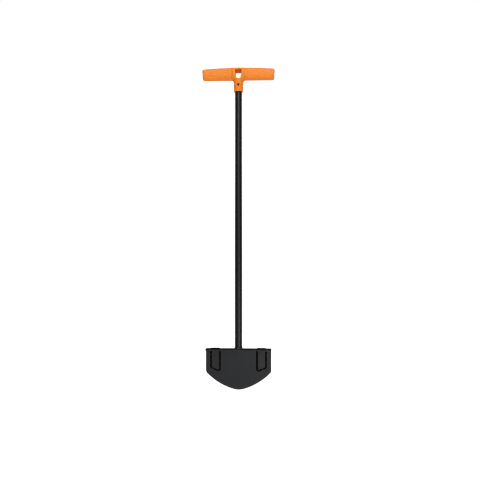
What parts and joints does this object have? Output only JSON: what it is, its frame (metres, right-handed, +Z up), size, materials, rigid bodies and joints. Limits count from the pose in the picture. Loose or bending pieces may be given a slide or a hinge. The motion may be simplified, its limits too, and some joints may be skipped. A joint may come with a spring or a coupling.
{
  "type": "half moon edger",
  "caption": "Lawn edging tool: a flat steel blade with a curved ground edge under a forward foot platform, a round steel shaft and a moulded T-handle with a hang hole.",
  "frame": {"origin": "lowest point of the blade's curved edge, on the shaft's axis", "axes": "+Z up the shaft to the handle, -Y to the front where the foot platform stands out, +X to the right seen from the front"},
  "size_m": [0.2182, 0.0465, 0.972],
  "materials": {
    "black_paint": "satin black powder coat",
    "weld_paint": "satin black powder coat over weld beads",
    "orange_plastic": "fine-grained moulded orange plastic",
    "screw_steel": "blackened steel"
  },
  "bodies": {
    "root": {"blade": "black_paint", "foot_platform": "black_paint", "shaft_tube": "black_paint", "shaft_weld": "weld_paint", "bend_welds": "weld_paint", "tongue_weld_left": "weld_paint", "tongue_weld_right": "weld_paint", "seam_welds": "weld_paint", "t_handle": "orange_plastic", "handle_screw": "screw_steel"}
  },
  "joints": []
}
